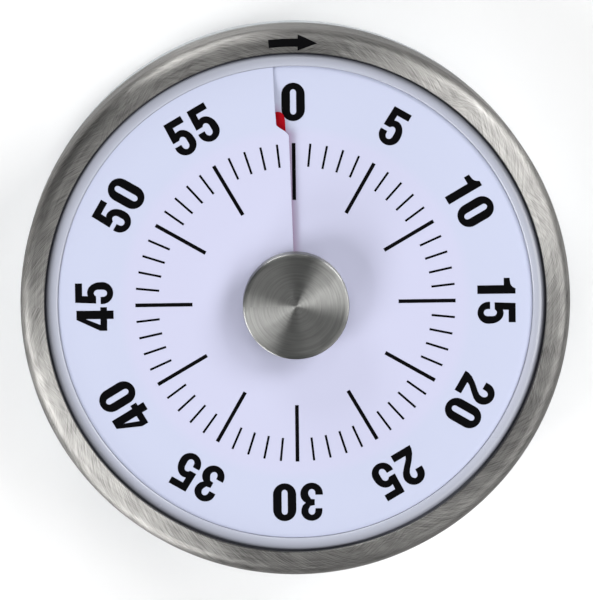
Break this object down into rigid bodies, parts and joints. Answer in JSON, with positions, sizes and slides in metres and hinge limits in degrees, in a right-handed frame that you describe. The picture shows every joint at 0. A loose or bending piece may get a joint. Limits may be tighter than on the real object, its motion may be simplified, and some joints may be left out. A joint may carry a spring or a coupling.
{
  "type": "kitchen timer",
  "caption": "Round wind-up timer with a brushed steel bezel, numbered white dial, red time disc, spun knob and magnetic back.",
  "frame": {"origin": "centre of the back, on the plane that the grip ring and magnets rest on", "axes": "+Z out of the dial, +Y towards 12 o'clock, +X towards the 15 mark"},
  "size_m": [0.08, 0.08, 0.0284],
  "materials": {
    "brushed_steel": "brushed",
    "shell_plastic": "satin",
    "white_plastic": "satin",
    "dial_film": "gloss",
    "red_film": "satin",
    "nylon": "matte",
    "rubber": "matte",
    "magnet_nickel": "satin",
    "plated_steel": "satin",
    "spring_steel": "satin",
    "brass": "satin"
  },
  "bodies": {
    "case": {"case_ring": "brushed_steel", "back_shell": "shell_plastic", "foot_ring": "rubber", "magnet_1": "magnet_nickel", "magnet_2": "magnet_nickel", "magnet_3": "magnet_nickel", "case_screw_1": "plated_steel", "case_screw_2": "plated_steel", "case_screw_3": "plated_steel", "dial_carrier": "white_plastic", "dial_sheet": "dial_film", "front_plate": "plated_steel", "rear_plate": "plated_steel", "pillar_1": "plated_steel", "pillar_2": "plated_steel", "pillar_3": "plated_steel", "pillar_nut_1": "plated_steel", "pillar_nut_2": "plated_steel", "pillar_nut_3": "plated_steel", "movement_screw_1": "plated_steel", "movement_screw_2": "plated_steel", "movement_screw_3": "plated_steel", "spring_post": "plated_steel", "mainspring": "spring_steel", "hammer_spring": "spring_steel", "bell": "plated_steel", "bell_screw": "plated_steel"},
    "knob_and_arbor": {"knob": "brushed_steel", "knob_insert": "nylon", "main_arbor": "plated_steel", "ratchet_wheel": "spring_steel", "alarm_cam": "brass", "film_collar": "nylon"},
    "time_disc": {"red_disc": "red_film"},
    "great_wheel_and_click": {"great_wheel": "brass", "click": "spring_steel"},
    "second_wheel_and_arbor": {"second_arbor": "spring_steel", "second_wheel": "brass"},
    "third_wheel_and_arbor": {"third_arbor": "spring_steel", "third_wheel": "brass"},
    "escape_wheel_and_arbor": {"escape_arbor": "spring_steel", "escape_wheel": "brass"},
    "balance": {"pallet_arbor": "spring_steel", "pallet_lever": "spring_steel", "balance_wheel": "brass"},
    "alarm_release": {"lever_arbor": "spring_steel", "alarm_lever": "plated_steel"},
    "striker": {"hammer_arbor": "spring_steel", "hammer": "spring_steel"}
  },
  "joints": [
    {"name": "knob_turn", "type": "hinge", "parent": "case", "child": "knob_and_arbor", "pos_m": [0, 0, 0], "axis": [0, 0, -1], "range_deg": [0, 360]},
    {"name": "time_disc_climb", "type": "slide", "parent": "knob_and_arbor", "child": "time_disc", "axis": [0, 0, 1], "range_m": [0, 0.001]},
    {"name": "great_wheel_turn", "type": "hinge", "parent": "case", "child": "great_wheel_and_click", "pos_m": [0, 0, 0], "axis": [0, 0, -1], "range_deg": [0, 360]},
    {"name": "second_wheel_turn", "type": "hinge", "parent": "case", "child": "second_wheel_and_arbor", "pos_m": [-0.01644, -0.00599, 0], "axis": [0, 0, -1], "continuous": true},
    {"name": "third_wheel_turn", "type": "hinge", "parent": "case", "child": "third_wheel_and_arbor", "pos_m": [-0.0112, -0.01588, 0], "axis": [0, 0, -1], "continuous": true},
    {"name": "escape_wheel_turn", "type": "hinge", "parent": "case", "child": "escape_wheel_and_arbor", "pos_m": [-0.00197, -0.0185, 0], "axis": [0, 0, -1], "continuous": true},
    {"name": "balance_swing", "type": "hinge", "parent": "case", "child": "balance", "pos_m": [0.00618, -0.01755, 0], "axis": [0, 0, -1], "range_deg": [-12, 12]},
    {"name": "alarm_lever_lift", "type": "hinge", "parent": "case", "child": "alarm_release", "pos_m": [0.014, 0.011, 0], "axis": [0, 0, -1], "range_deg": [-5, 0]},
    {"name": "hammer_swing", "type": "hinge", "parent": "case", "child": "striker", "pos_m": [0.0185, -0.008, 0], "axis": [0, 0, -1], "range_deg": [-12, 2], "stiffness_Nm_per_rad": 0.0005}
  ],
  "couplings": [
    {"joint": "time_disc_climb", "follows": "knob_turn", "m_per_rad": 0.00015915},
    {"joint": "great_wheel_turn", "follows": "knob_turn", "ratio": 1},
    {"joint": "second_wheel_turn", "follows": "knob_turn", "ratio": -6},
    {"joint": "third_wheel_turn", "follows": "knob_turn", "ratio": 36},
    {"joint": "escape_wheel_turn", "follows": "knob_turn", "ratio": -180}
  ]
}
